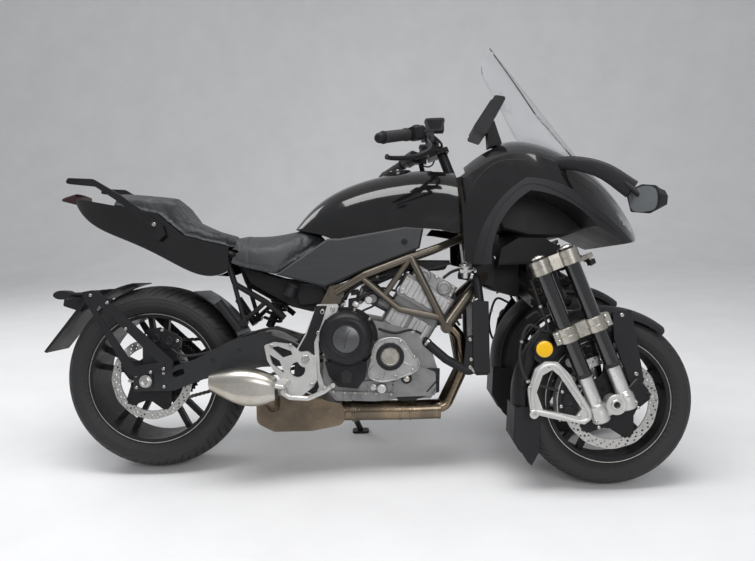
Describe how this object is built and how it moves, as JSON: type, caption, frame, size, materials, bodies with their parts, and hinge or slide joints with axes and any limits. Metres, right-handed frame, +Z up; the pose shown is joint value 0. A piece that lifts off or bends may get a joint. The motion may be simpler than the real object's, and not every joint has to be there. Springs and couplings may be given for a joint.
{
  "type": "leaning three-wheeled motorcycle",
  "caption": "Sports touring motorcycle with leaning, steered twin front wheels on a parallelogram linkage, parked leaning on its side stand.",
  "frame": {"origin": "on the floor, in the middle of the parked vehicle's footprint", "axes": "+X forward along the vehicle, +Y to the rider's left, +Z up"},
  "size_m": [2.1654, 0.8772, 1.4236],
  "materials": {
    "tyre_rubber": "worn road rubber",
    "rim_paint": "satin black",
    "disc_steel": "ground",
    "cast_alloy": "cast, satin",
    "clamp_alloy": "machined, warm grey",
    "fork_tube": "gloss black",
    "black_plastic": "matte",
    "frame_paint": "dark bronze grey, semi-gloss",
    "black_paint": "semi-gloss black",
    "swingarm_paint": "dark grey",
    "chain_steel": "oiled",
    "engine_alloy": "cast, painted grey",
    "cover_paint": "dark grey",
    "exhaust_steel": "heat tinted",
    "silencer_steel": "brushed",
    "body_paint": "gloss black",
    "seat_vinyl": "grained",
    "lamp_red": "smoked red",
    "lamp_glass": "clear",
    "screen_clear": "clear"
  },
  "bodies": {
    "chassis": {"main_frame": "frame_paint", "pivot_plates": "cast_alloy", "subframe": "black_paint", "swingarm": "swingarm_paint", "drive_chain": "chain_steel", "engine_block": "engine_alloy", "clutch_cover": "cover_paint", "radiator": "black_paint", "exhaust_pipes": "exhaust_steel", "muffler": "silencer_steel", "fuel_tank": "body_paint", "side_panels": "black_plastic", "rider_seat": "seat_vinyl", "pillion_seat": "seat_vinyl", "tail_cowl": "body_paint", "tail_lamp": "lamp_red", "plate_holder": "black_plastic", "front_cowl": "body_paint", "arch_trim": "black_plastic", "headlamps": "lamp_glass", "windscreen": "screen_clear", "instrument": "black_plastic", "mirrors": "black_plastic", "linkage_cover": "black_plastic", "leaning_linkage": "black_paint"},
    "steering": {"handlebar": "black_paint"},
    "corner_right": {"yoke_right": "clamp_alloy", "fork_right": "fork_tube", "knuckle_right": "cast_alloy", "fender_right": "black_plastic"},
    "corner_left": {"yoke_left": "clamp_alloy", "fork_left": "fork_tube", "knuckle_left": "cast_alloy", "fender_left": "black_plastic"},
    "front_wheel_right": {"front_tyre_right": "tyre_rubber", "front_rim_right": "rim_paint", "front_disc_right": "disc_steel"},
    "front_wheel_left": {"front_tyre_left": "tyre_rubber", "front_rim_left": "rim_paint", "front_disc_left": "disc_steel"},
    "rear_wheel": {"rear_tyre": "tyre_rubber", "rear_rim": "rim_paint", "rear_disc": "disc_steel"},
    "tie_bar": {"tie_rod": "black_paint"},
    "stand": {"side_stand": "black_paint"}
  },
  "joints": [
    {"name": "steer", "type": "hinge", "parent": "chassis", "child": "steering", "pos_m": [0.32825, 0.03638, 1.0692], "axis": [-0.342, 0.1535, 0.9271], "range_deg": [-32, 32]},
    {"name": "steer_right", "type": "hinge", "parent": "chassis", "child": "corner_right", "pos_m": [0.64284, -0.23791, 0.64996], "axis": [-0.342, 0.1535, 0.9271], "range_deg": [-32, 32]},
    {"name": "steer_left", "type": "hinge", "parent": "chassis", "child": "corner_left", "pos_m": [0.64284, 0.17209, 0.64996], "axis": [-0.342, 0.1535, 0.9271], "range_deg": [-32, 32]},
    {"name": "tie_rod_pin", "type": "hinge", "parent": "corner_right", "child": "tie_bar", "pos_m": [0.78242, -0.22891, 0.70428], "axis": [-0.342, 0.1535, 0.9271], "range_deg": [-32, 32]},
    {"name": "roll_front_right", "type": "hinge", "parent": "corner_right", "child": "front_wheel_right", "pos_m": [0.80825, -0.30051, 0.27182], "axis": [0, 0.9866, -0.1633], "continuous": true},
    {"name": "roll_front_left", "type": "hinge", "parent": "corner_left", "child": "front_wheel_left", "pos_m": [0.80825, 0.10949, 0.27182], "axis": [0, 0.9866, -0.1633], "continuous": true},
    {"name": "roll_rear", "type": "hinge", "parent": "chassis", "child": "rear_wheel", "pos_m": [-0.70175, -0.08801, 0.31782], "axis": [0, 0.9866, -0.1633], "continuous": true},
    {"name": "side_stand_fold", "type": "hinge", "parent": "chassis", "child": "stand", "pos_m": [-0.06175, 0.02385, 0.19754], "axis": [0, 0.9677, 0.2521], "range_deg": [0, 98]}
  ],
  "couplings": [
    {"joint": "steer_right", "follows": "steer", "ratio": 1},
    {"joint": "steer_left", "follows": "steer", "ratio": 1},
    {"joint": "tie_rod_pin", "follows": "steer", "ratio": -1}
  ]
}
